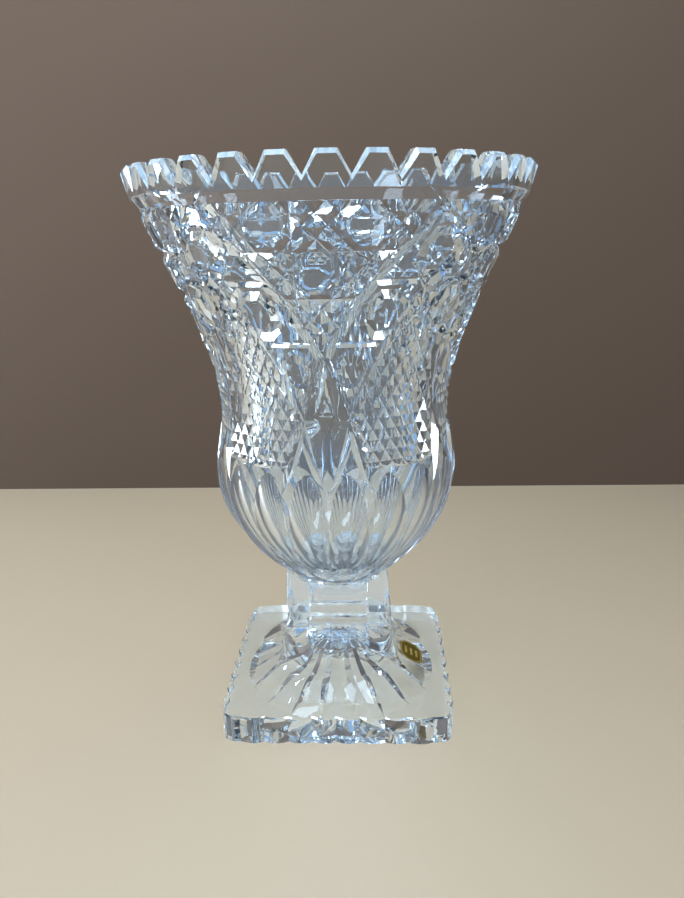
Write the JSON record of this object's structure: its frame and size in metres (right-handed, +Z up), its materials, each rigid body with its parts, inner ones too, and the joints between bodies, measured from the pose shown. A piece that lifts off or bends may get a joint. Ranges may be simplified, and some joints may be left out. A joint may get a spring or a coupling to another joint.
{
  "type": "footed vase",
  "caption": "Flared clear cut-crystal vase with a toothed rim, fluted bowl, cruciform stem block and square scalloped foot.",
  "frame": {"origin": "middle of the foot's underside, on the surface the vase stands on", "axes": "+Z up along the vase's axis, +X and +Y square to the foot's sides, -Y is the front"},
  "size_m": [0.1752, 0.1752, 0.25],
  "materials": {
    "bowl_crystal": "polished clear cut crystal",
    "stem_crystal": "polished clear crystal",
    "foot_crystal": "polished clear crystal",
    "clear_bond": "clear adhesive film",
    "gold_foil": "satin embossed foil"
  },
  "bodies": {
    "root": {"cut_bowl": "bowl_crystal", "bowl_bond": "clear_bond", "stem_block": "stem_crystal", "foot_bond": "clear_bond", "square_foot": "foot_crystal", "foil_label": "gold_foil"}
  },
  "joints": []
}
